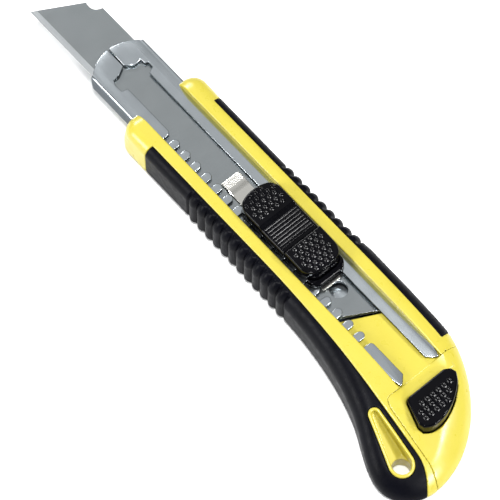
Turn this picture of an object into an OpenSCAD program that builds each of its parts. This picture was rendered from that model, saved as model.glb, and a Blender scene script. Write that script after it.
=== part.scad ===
// Heavy-duty utility knife with a magazine of 18 mm snap-off blades.
// X runs along the knife towards the blade's tip, Y towards the cutting edge, Z out of the slider's face.
// It lies on its flat back. Lengths along the knife are counted from the frontmost lock finger.

/* [Blade] */
// Width of a blade, from its back to its cutting edge
blade_w = 18; // [17:0.5:18]
// Length of a blade, measured along its cutting edge
blade_len = 100; // [96:1:100]
// Thickness of a blade
blade_t = 0.5; // [0.4:0.05:0.5]
// Angle between the snap lines and the cutting edge
snap_angle = 60; // [58:1:62]
// Width of the ground bevel along the cutting edge
bevel_w = 1.8; // [1:0.1:2.2]
// Radius of the hole in a blade's tail
blade_hole_r = 2.9; // [2.8:0.05:3]
// Distance from a blade's tail end to its hole, along the middle
blade_hole_back = 10.4; // [9.5:0.1:11]
// Spare blades in the magazine
spare_count = 3; // [1:1:3]

/* [Channel] */
// Outer width of the folded steel channel
channel_w = 20.8; // [20.4:0.1:20.8]
// Outer height of the channel
channel_h = 7; // [6.8:0.1:7.2]
// Thickness of the channel's steel
sheet = 0.7; // [0.6:0.05:0.8]
// Height of the channel's underside above the flat back
channel_z = 5.6; // [5:0.1:5.6]
// Where the rounded nose of the channel ends
nose_x = 38.9; // [34:0.1:42]
// Where the channel's rear end lies
channel_back_x = -105; // [-105:0.1:-104.8]
// Inner edge of the plain lip
lip_y = -4.1; // [-4.4:0.1:-4]
// Inner edge of the lip that carries the lock fingers
rack_y = 4.5; // [4.4:0.1:4.8]

/* [Lock fingers] */
// Distance from one lock finger to the next
finger_pitch = 5; // [5:0.5:5]
// Number of lock fingers
finger_count = 18; // [18:1:18]
// Width of a lock finger
finger_w = 2.7; // [2.4:0.1:2.8]
// Where the fingers stand out from the lip
finger_root_y = 7.7; // [7.4:0.1:7.9]
// Notch in which the slider is parked, counted from the front
park_notch = 10; // [10:1:10]

/* [Handle] */
// Thickness of the handle
body_z = 15; // [15:0.1:15.6]
// Half the handle's width, in front
half_w = 15.3; // [15:0.1:15.8]
// Where the handle's mouth ends
mouth_x = 16.5; // [16:0.1:18]
// Half the width of the track between the two rails
track_half = 8.2; // [8:0.1:8.4]
// Edge of the upper grip, counted from the middle
upper_edge = 12.3; // [12:0.1:12.6]
// Edge of the lower grip in front, counted from the middle
lower_edge = 12.2; // [12:0.1:12.6]
// Thickness of the rubber over the handle's core
skin = 2.4; // [2:0.1:2.6]
// Thickness of the rubber on the handle's front and back
skin_z = 1.6; // [1.2:0.1:2]
// Radius of the scallop ribs on the grips
rib_r = 1.7; // [1.6:0.05:1.8]
// How far the ribs stand out of the grips
rib_out = 1.3; // [1:0.1:1.5]

/* [Lanyard hole] */
// Radius of the hole
lanyard_r = 2.9; // [2.6:0.1:3.1]
// Length of the hole, from the flat back to the recess
lanyard_len = 5; // [4.5:0.1:5.5]
// Radius of the recess's round end
recess_r = 3.1; // [3:0.1:3.4]
// Thickness of the rim round the recess
rim = 0.9; // [0.7:0.1:1]

/* [Slider] */
// Half the width of the slider's base
base_half = 6.5; // [6.2:0.1:6.8]
// Half the width of the thumb pad
pad_half = 7; // [6.6:0.1:7.2]
// Height of the slider's base above the back
base_top = 15; // [14.8:0.1:15.2]
// Height of the thumb pad's top
pad_top = 18.6; // [18:0.1:19]
// Height of the lock button's top
lock_top = 19.3; // [18.8:0.1:19.6]
// Travel of the lock button
lock_travel = 0.9; // [0.5:0.1:1]

/* [End cap] */
// Where the end cap meets the handle
cap_x = -105.1; // [-106:0.1:-105.1]
// Height of the cap button's top
button_top = 13.2; // [12.8:0.1:13.6]
// Travel of the cap button
button_travel = 1.5; // [1:0.1:1.6]

/* [Hidden] */
$fn = 48;

// The origin lies under the middle of the whole knife: this is where the frontmost finger is from there.
origin_shift = [34, -7, 0];
// Clearance between pieces that lie against each other
gap = 0.05;
// Clearance round the pieces that move in the handle
run = 0.3;
// Small overrun of a cutting shape
eps = 0.5;

lip_top = channel_z + channel_h;
lip_under = lip_top - sheet;
floor_z = channel_z + sheet;
inner_half = channel_w / 2 - sheet;

// The carrier's plate lies right under the lips, and the blades under it.
plate_t = 0.5;
plate_z = lip_under - gap - plate_t;
blade_top = plate_z - gap;
blade_step = blade_t + gap;
slant = blade_w / tan(snap_angle);

notch_x = finger_pitch / 2;
slider_x = notch_x - finger_pitch * park_notch;
hook_dx = 18.6;
hook_x = slider_x + hook_dx;
spare_hook_x = hook_x - 40;

rivet_x = [4, -74];
lanyard_at = [-122.3, 22.6];
recess_tip = [-106.2, 19.1];
recess_tip_r = 1.05;
// Side view of the recess's floor, which slopes down from its tip to the hole
recess_floor = [[-103, 12], [-119.5, lanyard_len], [-128, lanyard_len]];

// Lower edge of the end cap, from its front corner to the tail
cap_line = [[cap_x, 12], [-107.4, 14.3], [-110, 14.6], [-127.5, 16], [-131.5, 17.3], [-136, 19.1]];

yellow = [0.96, 0.9, 0.2];
black = [0.09, 0.09, 0.11];
steel = [0.7, 0.72, 0.74];

// ---- curves -------------------------------------------------------------------------------------

// Points of a cubic curve, without its last point
function curve(a, b, c, d, n = 10) = [
    for (i = [0 : n - 1])
        let (t = i / n, s = 1 - t)
        s * s * s * a + 3 * s * s * t * b + 3 * s * t * t * c + t * t * t * d
];

// Points of a round corner
function corner(c, r, a0, a1, n = 8) = [
    for (i = [0 : n]) let (a = a0 + (a1 - a0) * i / n) c + r * [cos(a), sin(a)]
];

// An outline moved inwards by d
function inset(p, d) = [
    for (i = [0 : len(p) - 1])
        let (
            a = p[(i + len(p) - 1) % len(p)],
            b = p[(i + 1) % len(p)],
            t = (b - a) / norm(b - a)
        )
        p[i] + d * [-t.y, t.x]
];

mouth_r = 5;
belly_join = [-62, half_w + 0.9];
belly_mid = [-101.8, 23.2];
belly_top = [-122.5, 31.4];
tail_end = [-133.6, 18];
back_join = [-98, -half_w - 1];

// Outline of the handle with its grips and end cap
handle_outline = concat(
    corner([mouth_x - mouth_r, half_w - mouth_r], mouth_r, 0, 90),
    [[-15, half_w]],
    curve(belly_join, [-78, 16.6], [-92, 19.4], belly_mid),
    curve(belly_mid, [-108.3, 25.8], [-116, 31.4], belly_top),
    curve(belly_top, [-129.5, 31.4], [-133.7, 25], tail_end),
    curve(tail_end, [-133, -2], [-113, -15.8], back_join, 16),
    [back_join, [-66, -half_w - 1], [-56, -half_w]],
    corner([mouth_x - mouth_r, mouth_r - half_w], mouth_r, -90, 0)
);

// Height of the handle's front face, which falls away towards the tail
face_start = [-78, body_z];
face_end = [-136, 3.5];
face_curve = concat(curve(face_start, [-98, body_z], [-118, 11], face_end, 14), [face_end]);

// Line between the yellow body and the lower grip
grip_line = concat(
    [[3, lower_edge]],
    curve([-50, lower_edge], [-80, lower_edge], [-100, 15.6], [-123, 16.9], 12),
    curve([-123, 16.9], [-127.5, 17.2], [-130.5, 19.6], [-136, 24], 8)
);

button_outline = concat(
    [[-109.2, -5.5], [-109.2, 8.2], [-109.7, 9.3], [-110.8, 9.8], [-117.6, 11.8], [-119.4, 11.4]],
    curve([-120.3, 10.1], [-122.8, 5.5], [-118.5, -3.5], [-113.2, -7.5], 10),
    [[-112.2, -7.9], [-110.4, -7.4]]
);

// ---- helpers ------------------------------------------------------------------------------------

module placed() translate(origin_shift) children();

// Box from one corner to the opposite one
module span(a, b) translate(a) cube(b - a);

module rounded_rect(size, r) {
    w = size.x / 2 - r;
    h = size.y / 2 - r;
    square([size.x, 2 * h], center = true);
    square([2 * w, size.y], center = true);
    for (x = [-w, w]) for (y = [-h, h]) translate([x, y]) circle(r);
}

// Extrudes a section drawn in Y and Z along X
module along_x(x0, x1) translate([x0, 0, 0]) rotate([90, 0, 90]) linear_extrude(x1 - x0) children();

// Extrudes a side view drawn in X and Z along Y
module along_y(y0, y1) translate([0, y1, 0]) rotate([90, 0, 0]) linear_extrude(y1 - y0) children();

module prism(z0, z1) translate([0, 0, z0]) linear_extrude(z1 - z0) children();

// Everything under the handle's front face, moved down by a depth
module under_face(depth) along_y(-40, 50)
    translate([0, -depth])
        polygon(concat([[30, -5], [30, body_z]], face_curve, [[-140, face_end.y], [-140, -5]]));

module blank() intersection() {
    prism(0, body_z) polygon(handle_outline);
    under_face(0);
}

// Stiff core of the handle, under the rubber
module core() intersection() {
    prism(skin_z, body_z) polygon(inset(handle_outline, skin));
    under_face(skin_z);
}

module lower_zone() polygon(concat([[5.5, 45]], grip_line, [[-140, 30], [-140, 45]]));

module upper_zone() polygon([[5, -30], [3, -upper_edge], [-101, -upper_edge], [-99.5, -30]]);

// Zone of the end cap, less a clearance along its joint
module cap_zone(clear) polygon([
    [cap_x - clear, -30],
    for (p = cap_line) p - [clear, clear],
    [-140, -30]
]);

module teardrop(r) {
    big = recess_r + rim + r;
    small = recess_tip_r + rim + r;
    d = recess_tip - lanyard_at;
    along = atan2(d.y, d.x);
    lean = acos((big - small) / norm(d));
    translate(lanyard_at) circle(big);
    translate(recess_tip) circle(small);
    polygon([
        lanyard_at + big * [cos(along + lean), sin(along + lean)],
        lanyard_at + big * [cos(along - lean), sin(along - lean)],
        recess_tip + small * [cos(along - lean), sin(along - lean)],
        recess_tip + small * [cos(along + lean), sin(along + lean)]
    ]);
}

// Scallop ribs standing on a grip's side
module ribs(x0, x1, count, y, z0, z1) for (i = [0 : count - 1])
    translate([x0 + (x1 - x0) * i / (count - 1), y, z0]) cylinder(h = z1 - z0, r = rib_r);

// Coil spring of round wire, standing on the XY plane
module coil(r, wire, height, turns) {
    sides = 8;
    steps = 14 * turns;
    rise = height - 2 * wire;
    points = [
        for (i = [0 : steps])
            let (a = 360 * turns * i / steps, z = wire + rise * i / steps)
            for (k = [0 : sides - 1])
                let (b = 360 * k / sides, q = r + wire * cos(b))
                [q * cos(a), q * sin(a), z + wire * sin(b)]
    ];
    sleeves = [
        for (i = [0 : steps - 1])
            for (k = [0 : sides - 1])
                let (m = (k + 1) % sides)
                [i * sides + k, (i + 1) * sides + k, (i + 1) * sides + m, i * sides + m]
    ];
    front = [[for (k = [0 : sides - 1]) k]];
    back = [[for (k = [0 : sides - 1]) steps * sides + sides - 1 - k]];
    polyhedron(points, concat(sleeves, front, back));
}

// A bent strip: a path drawn in a plane, given a thickness
module strip(path, t) polygon(concat(path, [for (i = [len(path) - 1 : -1 : 0]) path[i] + [0, t]]));

// ---- handle -------------------------------------------------------------------------------------

module lanyard_collar() intersection() {
    blank();
    prism(0, body_z) teardrop(0);
}

latch_catch_x = -103.2;
latch_half = 4;

// Pocket for the latch, with the ledge that its hook catches on
module latch_pocket() {
    span([cap_x - eps, -latch_half - run, 1.6], [latch_catch_x, latch_half + run, 4.3]);
    span([latch_catch_x - eps, -latch_half - run, 1.6], [-99.5, latch_half + run, 5.2]);
}

module handle_body() color(yellow) placed() difference() {
    union() {
        difference() {
            blank();
            prism(-eps, body_z + eps) lower_zone();
            prism(-eps, body_z + eps) upper_zone();
        }
        core();
        lanyard_collar();
    }
    prism(-eps, body_z + eps) cap_zone(0);
    span([cap_x - eps, -channel_w / 2 - gap, channel_z - gap],
         [mouth_x + eps, channel_w / 2 + gap, lip_top + gap]);
    span([cap_x - eps, -track_half, lip_top - eps], [mouth_x + eps, track_half, body_z + eps]);
    latch_pocket();
    intersection() {
        prism(lanyard_len, body_z + eps) teardrop(-rim);
        along_y(10, 30) polygon(concat(recess_floor, [[-128, body_z + eps], [-103, body_z + eps]]));
    }
    translate([lanyard_at.x, lanyard_at.y, -eps]) cylinder(h = lanyard_len + 2 * eps, r = lanyard_r);
    for (x = rivet_x) translate([x, 0, 0]) {
        translate([0, 0, -eps]) cylinder(h = 1.2 + eps, r = 2.6);
        cylinder(h = channel_z + eps, r = 1.25);
    }
}

module lower_grip() color(black) placed() difference() {
    union() {
        intersection() {
            blank();
            prism(-eps, body_z + eps) lower_zone();
        }
        ribs(-19, -60, 12, half_w + rib_out - rib_r + 0.35, 1.2, body_z - 1.4);
    }
    core();
    prism(-eps, body_z + eps) teardrop(0);
}

module upper_grip() color(black) placed() difference() {
    union() {
        intersection() {
            blank();
            prism(-eps, body_z + eps) upper_zone();
        }
        ribs(-30, -60, 9, rib_r - half_w - rib_out, 1.2, body_z - 1.4);
    }
    core();
}

// ---- channel ------------------------------------------------------------------------------------

nose_r = 14;
rack_end = finger_w / 2 + 2.3;
rack_back = -finger_pitch * (finger_count - 1) - rack_end;
lip_end_chamfer = 2.4;

module finger(x) {
    r = finger_w / 2;
    tip = rack_y - 0.1 + r;
    translate([x - r, tip]) square([finger_w, finger_root_y - tip + eps]);
    translate([x, tip]) circle(r);
}

// Opening through which a worn blade's tail is let go
module release_window() polygon([
    [31.3, 0.1], [29.3, -2.4], [29.6, -5.2], [27.7, -5.3], [27.4, -6.3], [25.2, -6.2], [24.2, lip_y],
    [22, lip_y], [22, rack_y], [24.2, rack_y], [24.6, 6.5], [27.5, 6.7], [29.4, 5.9], [29.7, 3.3], [31.3, 0.5]
]);

// Gap between the two lips, with the fingers left standing in it
module lip_gap() {
    translate([channel_back_x - eps, lip_y]) square([22.5 - channel_back_x + eps, rack_y - lip_y]);
    difference() {
        translate([rack_back, rack_y - eps]) square([rack_end - rack_back, finger_root_y - rack_y + eps]);
        for (k = [0 : finger_count - 1]) finger(-finger_pitch * k);
    }
    release_window();
    translate([nose_x - 8, 0.1]) square([9, 0.4]);
    for (side = [[lip_y, -1], [rack_y, 1]]) polygon([
        [channel_back_x + lip_end_chamfer, side[0]],
        [channel_back_x - eps, side[0] + side[1] * (lip_end_chamfer + eps)],
        [channel_back_x - eps, side[0]]
    ]);
}

module blade_channel() color(steel) placed() difference() {
    along_x(channel_back_x, nose_x) translate([0, channel_z + channel_h / 2]) difference() {
        rounded_rect([channel_w, channel_h], 1.2);
        rounded_rect([2 * inner_half, channel_h - 2 * sheet], 0.5);
    }
    prism(lip_under - 0.2, lip_top + eps) lip_gap();
    prism(channel_z - eps, lip_top + eps) difference() {
        translate([nose_x - nose_r, -channel_w]) square([nose_r + eps, 2 * channel_w]);
        translate([nose_x - nose_r, 0]) circle(nose_r, $fn = 96);
    }
    for (x = rivet_x) translate([x, 0, channel_z - eps]) cylinder(h = sheet + 2 * eps, r = 1.25);
}

module channel_rivets() color(steel) placed() for (x = rivet_x) translate([x, 0, 0]) {
    translate([0, 0, 0.3]) cylinder(h = 0.9, r = 2.5);
    translate([0, 0, 1]) cylinder(h = floor_z - 0.7, r = 1.2);
    translate([0, 0, floor_z]) cylinder(h = 0.4, r = 1.8);
}

// ---- magazine -----------------------------------------------------------------------------------

spare_low = blade_top - blade_step * (spare_count + 1) + gap;

module magazine_spring() color(steel) placed() along_y(-4, 4) strip([
    for (i = [0 : 24])
        let (x = -62 + 54 * i / 24)
        [x, floor_z + 0.1 + (spare_low - floor_z - 0.55) * (1 - cos(360 * i / 24)) / 2]
], 0.35);

// A blade whose hole is at hook and whose top face is at the given height
module blade(hook, top) {
    half = blade_w / 2;
    tail = hook - blade_hole_back;
    edge_tail = tail + slant / 2;
    back_tail = tail - slant / 2;
    edge_tip = edge_tail + blade_len;
    back_tip = back_tail + blade_len;
    difference() {
        intersection() {
            prism(top - blade_t, top) polygon([
                [edge_tail, half],
                [back_tail, -half],
                [back_tip - 3.4, -half],
                [back_tip - 2.4, -half + 1.9],
                [back_tip - 0.3, -half + 2.9],
                [back_tip + 1.56, -half + 2.7],
                [edge_tip, half]
            ]);
            along_x(back_tail - 1, edge_tip + 1) polygon([
                [-half, top - blade_t],
                [half - bevel_w, top - blade_t],
                [half, top - blade_t / 2 - 0.02],
                [half, top - blade_t / 2 + 0.02],
                [half - bevel_w, top],
                [-half, top]
            ]);
        }
        translate([hook, 0, top - blade_t - eps]) cylinder(h = blade_t + 2 * eps, r = blade_hole_r);
    }
}

module spare_blade(i) color(steel) placed() blade(spare_hook_x, blade_top - blade_step * i);

// It hangs on the carrier's hook a little askew, within the channel's clearance.
module active_blade() color(steel) placed()
    translate([hook_x, 0, 0]) rotate([0, 0, 0.38]) blade(0, blade_top);

// ---- slider -------------------------------------------------------------------------------------

carrier_y = [-2.8, 4];
carrier_front = slider_x + 24.7;
carrier_back = slider_x - 19.3;
leaf_lip_x = slider_x + 28.1;
base_front = slider_x + 18.6;
base_back = slider_x - 18.3;
pad_back = slider_x - 4.25;
carrier_rivet_x = [slider_x + 8, slider_x - 9];

module blade_carrier() color(steel) placed() difference() {
    union() {
        span([carrier_back, carrier_y[0], plate_z], [carrier_front, carrier_y[1], plate_z + plate_t]);
        span([slider_x - 14, -5.7, plate_z], [slider_x + 12, 5.7, plate_z + plate_t]);
        along_y(carrier_y[0], carrier_y[1]) polygon([
            [carrier_front - 0.2, plate_z],
            [leaf_lip_x, plate_z + 0.02],
            [leaf_lip_x, plate_z + 0.3],
            [carrier_front + 0.4, plate_z + plate_t + 0.35],
            [carrier_front - 0.6, plate_z + plate_t]
        ]);
        translate([hook_x, 0, blade_top - blade_t + 0.05]) cylinder(h = blade_t + gap + 0.2, r = 2.6);
    }
    for (x = carrier_rivet_x) translate([x, 0, plate_z - eps]) cylinder(h = plate_t + 2 * eps, r = 0.95);
}

module carrier_rivets() color(steel) placed() for (x = carrier_rivet_x) translate([x, 0, plate_z]) {
    cylinder(h = 1.5, r = 0.9);
}

module slider_outline(x0, x1, half, r) translate([(x0 + x1) / 2, 0])
    rounded_rect([x1 - x0, 2 * half], r);

lock_back = slider_x - 16.35;
lock_front = pad_back - 0.4;

// The lock button's foot, which moves in a pocket of the slider's base
module lock_foot(grow) slider_outline(lock_back - grow, lock_front + grow, base_half - 0.6 + grow, 3);

module slider_base() color(black) placed() difference() {
    union() {
        prism(lip_top + gap, base_top) slider_outline(base_back, base_front, base_half, 3.5);
        span([base_back + 2, -3.6, lip_under + 0.02], [base_front - 3, 3.8, lip_top + 1]);
    }
    prism(base_top - 1.3, base_top + eps) lock_foot(0.25);
    translate([slider_x - 10.3, 0, lip_top + 0.3]) cylinder(h = 4, r = 2.7);
    for (x = carrier_rivet_x) translate([x, 0, plate_z]) cylinder(h = 1.6, r = 0.95);
}

ridge_pitch = 1.15;

module thumb_pad() color(black) placed() {
    prism(base_top, pad_top - 0.8) {
        slider_outline(pad_back, base_front - 0.5, pad_half, 3.2);
        translate([pad_back, -pad_half]) square([4, 2 * pad_half]);
    }
    prism(pad_top - 0.9, pad_top) slider_outline(slider_x + 6, base_front - 0.9, pad_half - 0.4, 3);
    for (i = [0 : 7]) span(
        [slider_x + 5 - ridge_pitch * i - 0.25, 0.4 - pad_half, pad_top - 0.9],
        [slider_x + 5 - ridge_pitch * i + 0.25, pad_half - 0.4, pad_top - 0.35]
    );
}

module lock_button() color(black) placed() {
    prism(base_top - 0.35, base_top + lock_travel + 0.2) lock_foot(0);
    prism(base_top + lock_travel + 0.1, lock_top) {
        slider_outline(lock_back, lock_front, pad_half, 2.6);
        translate([lock_front - 4, -pad_half]) square([4, 2 * pad_half]);
    }
    translate([slider_x - 10.3, 0, base_top - 0.8]) cylinder(h = 1, r = 1.2);
}

module lock_spring() color(steel) placed()
    translate([slider_x - 10.3, 0, lip_top + 0.32]) coil(1.9, 0.2, base_top - 0.35 - lip_top - 0.34, 3);

// Bowed leaf whose nose clicks between the fingers
module detent_spring() color(steel) placed() prism(lip_under + 0.05, lip_top - 0.05) strip([
    [slider_x - 6, 3.82],
    [slider_x - 1.1, 3.85],
    [slider_x - 0.4, 5.9],
    [slider_x + 0.4, 5.9],
    [slider_x + 1.1, 3.85],
    [slider_x + 6, 3.82]
], 0.35);

// ---- end cap ------------------------------------------------------------------------------------

tongue_top = plate_z - 0.15;
pocket_z = [2.5, 6];
flange_z = [4.9, 5.7];
// Recess in the cap's front for the carrier's rear edge, when the slider is fully back
carrier_room = 2.1;

// Block that reaches into the channel and stops the spare blades
module tongue() prism(floor_z + 0.2, tongue_top) polygon([
    [spare_hook_x - blade_hole_back + slant / 2 * 0.94 - 1, inner_half - run],
    [spare_hook_x - blade_hole_back - slant / 2 * 0.94 - 1, run - inner_half],
    [cap_x - 3, run - inner_half],
    [cap_x - 3, inner_half - run]
]);

module end_cap() color(yellow) placed() difference() {
    union() {
        intersection() {
            blank();
            prism(0, body_z) cap_zone(0.15);
        }
        tongue();
    }
    prism(pocket_z[0], pocket_z[1]) polygon(inset(button_outline, -1));
    prism(pocket_z[0], body_z) polygon(inset(button_outline, -0.25));
    span([-110, -latch_half - run, 2], [cap_x + eps, latch_half + run, 5.2]);
    span([cap_x - carrier_room, -3.1, tongue_top], [cap_x + eps, 4.3, body_z]);
}

module cap_button() color(black) placed() {
    prism(flange_z[0], button_top) polygon(button_outline);
    prism(flange_z[0], flange_z[1]) polygon(inset(button_outline, -0.7));
}

module cap_button_spring() color(steel) placed()
    translate([-114.5, 2, pocket_z[0] + 0.02]) coil(2.6, 0.25, flange_z[0] - pocket_z[0] - 0.04, 3);

module cap_latch() color(steel) placed() along_y(-latch_half, latch_half) polygon([
    [-109, 4.3], [-109, 3.8], [-101.6, 3.8], [-101.6, 5], [-102.9, 5], [-102.9, 4.3]
]);

handle_body();
lower_grip();
upper_grip();
blade_channel();
channel_rivets();
magazine_spring();
spare_blade(1);  // spare_blade_1
spare_blade(2);  // spare_blade_2
spare_blade(3);  // spare_blade_3
active_blade();
blade_carrier();
carrier_rivets();
slider_base();
thumb_pad();
lock_button();
lock_spring();
detent_spring();
end_cap();
cap_button();
cap_button_spring();
cap_latch();
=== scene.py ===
import math
import bmesh
import bpy
import numpy as np
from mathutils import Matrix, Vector


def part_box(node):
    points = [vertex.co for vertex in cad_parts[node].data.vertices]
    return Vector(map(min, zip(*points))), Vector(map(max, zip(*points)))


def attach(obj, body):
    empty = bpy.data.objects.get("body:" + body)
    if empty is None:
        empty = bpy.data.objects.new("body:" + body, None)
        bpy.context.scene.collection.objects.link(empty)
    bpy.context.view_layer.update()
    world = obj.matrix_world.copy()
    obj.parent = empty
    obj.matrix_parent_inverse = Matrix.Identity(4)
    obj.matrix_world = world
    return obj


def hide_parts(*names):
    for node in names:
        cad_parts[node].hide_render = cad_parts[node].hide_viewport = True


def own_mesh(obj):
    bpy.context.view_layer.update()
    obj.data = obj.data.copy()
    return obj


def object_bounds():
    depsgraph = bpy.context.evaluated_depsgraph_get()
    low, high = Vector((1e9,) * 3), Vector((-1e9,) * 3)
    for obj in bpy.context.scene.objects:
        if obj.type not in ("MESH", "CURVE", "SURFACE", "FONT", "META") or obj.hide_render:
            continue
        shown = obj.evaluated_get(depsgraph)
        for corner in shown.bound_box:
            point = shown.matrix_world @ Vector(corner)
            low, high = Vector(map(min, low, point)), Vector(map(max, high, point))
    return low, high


# A heavy-duty utility knife with a magazine of snap-off blades.
#
# Shapes are worked out in the knife's own millimetres: x runs towards the blade's tip from the frontmost
# lock finger, y towards the cutting edge from the channel's middle, and z up from the flat back. Moulded
# pieces are distance fields (negative inside) turned into meshes. Sheet-metal pieces are flat blanks that
# are cut out, softened at the edges and bent.

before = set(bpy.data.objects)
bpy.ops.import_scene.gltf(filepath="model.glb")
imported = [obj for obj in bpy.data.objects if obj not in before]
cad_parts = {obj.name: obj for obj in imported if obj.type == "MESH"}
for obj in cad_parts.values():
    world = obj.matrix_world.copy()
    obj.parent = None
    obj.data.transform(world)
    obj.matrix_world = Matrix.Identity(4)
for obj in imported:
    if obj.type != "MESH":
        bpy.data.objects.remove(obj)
cad_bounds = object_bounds()

MM = 0.001
CHANNEL_BACK = -105.0
channel_low, channel_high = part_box("blade_channel")
ORIGIN = np.array([
    channel_low.x - CHANNEL_BACK * MM,
    (channel_low.y + channel_high.y) / 2,
    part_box("handle_body")[0].z,
])


def from_frame(point):
    """A point of the frame, in the knife's millimetres."""
    return (np.array(point) - ORIGIN) / MM


# ---- distance fields ----


def both(a, b, r):
    """What lies in both shapes, with its new edge rounded to radius r."""
    outer = np.hypot(np.maximum(a + r, 0), np.maximum(b + r, 0))
    return np.minimum(-r, np.maximum(a, b)) + outer


def either(a, b, r):
    """What lies in either shape, with a fillet of radius r between them."""
    inner = np.hypot(np.maximum(r - a, 0), np.maximum(r - b, 0))
    return np.maximum(r, np.minimum(a, b)) - inner


def without(a, b, r):
    """The first shape less the second, with its new edge rounded to radius r."""
    return both(a, -b, r)


def slab(v, low, high):
    """Everything between two parallel planes."""
    return np.abs(v - (low + high) / 2) - (high - low) / 2


def plate(x, y, x0, x1, y0, y1, r):
    """A rectangle with round corners, seen from above."""
    u = slab(x, x0 + r, x1 - r)
    v = slab(y, y0 + r, y1 - r)
    return np.hypot(np.maximum(u, 0), np.maximum(v, 0)) + np.minimum(np.maximum(u, v), 0) - r


def disc(x, y, x0, y0, r):
    """A round disc or bore, seen from above."""
    return np.hypot(x - x0, y - y0) - r


def smooth(v, low, high):
    """Rises softly from 0 at low to 1 at high."""
    t = np.clip((v - low) / (high - low), 0, 1)
    return t * t * (3 - 2 * t)


def curve(a, b, c, d, n=16):
    """Points of a cubic curve, without its last point."""
    t = np.arange(n)[:, None] / n
    a, b, c, d = (np.array(p, float) for p in (a, b, c, d))
    return (1 - t) ** 3 * a + 3 * (1 - t) ** 2 * t * b + 3 * (1 - t) * t ** 2 * c + t ** 3 * d


def corner(cx, cy, r, start, end, n=12):
    """Points of a round corner."""
    a = np.radians(np.linspace(start, end, n + 1))
    return np.stack([cx + r * np.cos(a), cy + r * np.sin(a)], 1)


class Outline:
    """Distance to a closed outline seen from above, held on a fine grid."""

    def __init__(self, *parts, margin=7.0, step=0.2):
        points = np.concatenate([np.array(p, float).reshape(-1, 2) for p in parts])
        self.low = points.min(0) - margin
        self.step = step
        self.shape = np.ceil((np.ptp(points, axis=0) + 2 * margin) / step).astype(int) + 1
        x = (self.low[0] + step * np.arange(self.shape[0]))[:, None]
        y = (self.low[1] + step * np.arange(self.shape[1]))[None, :]
        nearest = np.full(self.shape, np.inf)
        odd = np.zeros(self.shape, bool)
        for a, b in zip(points, np.roll(points, -1, 0)):
            d = b - a
            if not d.any():
                continue
            t = np.clip(((x - a[0]) * d[0] + (y - a[1]) * d[1]) / d.dot(d), 0, 1)
            nearest = np.minimum(nearest, (x - a[0] - t * d[0]) ** 2 + (y - a[1] - t * d[1]) ** 2)
            if d[1]:
                crosses = (a[1] > y) != (b[1] > y)
                odd ^= crosses & (x < a[0] + (y - a[1]) * d[0] / d[1])
        self.distance = np.sqrt(nearest) * np.where(odd, -1, 1)

    def __call__(self, x, y):
        x, y = np.broadcast_arrays(x, y)
        u = np.clip((x - self.low[0]) / self.step, 0, self.shape[0] - 1.001)
        v = np.clip((y - self.low[1]) / self.step, 0, self.shape[1] - 1.001)
        i, j = u.astype(int), v.astype(int)
        u, v = u - i, v - j
        d = self.distance
        low = d[i, j] * (1 - v) + d[i, j + 1] * v
        high = d[i + 1, j] * (1 - v) + d[i + 1, j + 1] * v
        return low * (1 - u) + high * u


def surface(shape, axes):
    """Corners and four-sided faces of a shape's surface over a box of grid lines (surface nets)."""
    grid = [a.reshape([-1 if i == k else 1 for i in range(3)]) for k, a in enumerate(axes)]
    value = np.broadcast_to(shape(*grid), [a.size for a in axes])
    cells = np.array(value.shape) - 1
    stride = np.array([cells[1] * cells[2], cells[2], 1])
    total = np.zeros((3, cells.prod()))
    count = np.zeros(cells.prod())
    faces = []
    for k in range(3):
        u, w = (k + 1) % 3, (k + 2) % 3
        near = value[tuple(slice(0, -1) if i == k else slice(None) for i in range(3))]
        far = value[tuple(slice(1, None) if i == k else slice(None) for i in range(3))]
        at = np.argwhere((near < 0) != (far < 0))
        a, b = near[tuple(at.T)], far[tuple(at.T)]
        point = np.stack([axes[i][at[:, i]] for i in range(3)])
        point[k] += a / (a - b) * (axes[k][at[:, k] + 1] - point[k])
        ring = []
        for du, dw in ((-1, -1), (0, -1), (0, 0), (-1, 0)):
            cell = at.copy()
            cell[:, u] += du
            cell[:, w] += dw
            index = cell @ stride
            ring.append(index)
            count += np.bincount(index, minlength=count.size)
            for i in range(3):
                total[i] += np.bincount(index, point[i], count.size)
        ring = np.stack(ring, 1)
        ring[a > 0] = ring[a > 0][:, ::-1]
        faces.append(ring)
    used = np.flatnonzero(count)
    number = np.full(count.size, -1)
    number[used] = np.arange(used.size)
    return (total[:, used] / count[used]).T, number[np.concatenate(faces)]


def slope(shape, points, h=0.04):
    """Gradient of a shape's field at each point."""
    parts = []
    for k in range(3):
        step = np.zeros(3)
        step[k] = h
        parts.append((shape(*(points + step).T) - shape(*(points - step).T)) / (2 * h))
    return np.stack(parts, 1)


def settle(shape, points, reach):
    """Pulls points onto the surface, and returns them with the surface's normals."""
    start = points.copy()
    for _ in range(3):
        g = slope(shape, points)
        size = np.maximum((g * g).sum(1), 0.25)
        points = points - g * (shape(*points.T) / size)[:, None]
        points = start + np.clip(points - start, -reach, reach)
    g = slope(shape, points)
    return points, g / np.maximum(np.linalg.norm(g, axis=1), 1e-6)[:, None]


def lines(*stretches):
    """Grid lines along one axis: each stretch is (start, end, spacing)."""
    parts = [np.arange(a, b - step / 2, step) for a, b, step in stretches]
    return np.concatenate(parts + [[stretches[-1][1]]])


# ---- pieces ----


def piece(name, mesh, body, slot, look, *nodes):
    """A finished piece: it rides on a body, takes a material, and stands for CAD nodes; its slot is not
    used.
    """
    made = bpy.data.objects.new(name, mesh)
    bpy.context.scene.collection.objects.link(made)
    mesh.materials.clear()
    mesh.materials.append(look)
    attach(made, body)
    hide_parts(*nodes)
    return made


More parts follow.
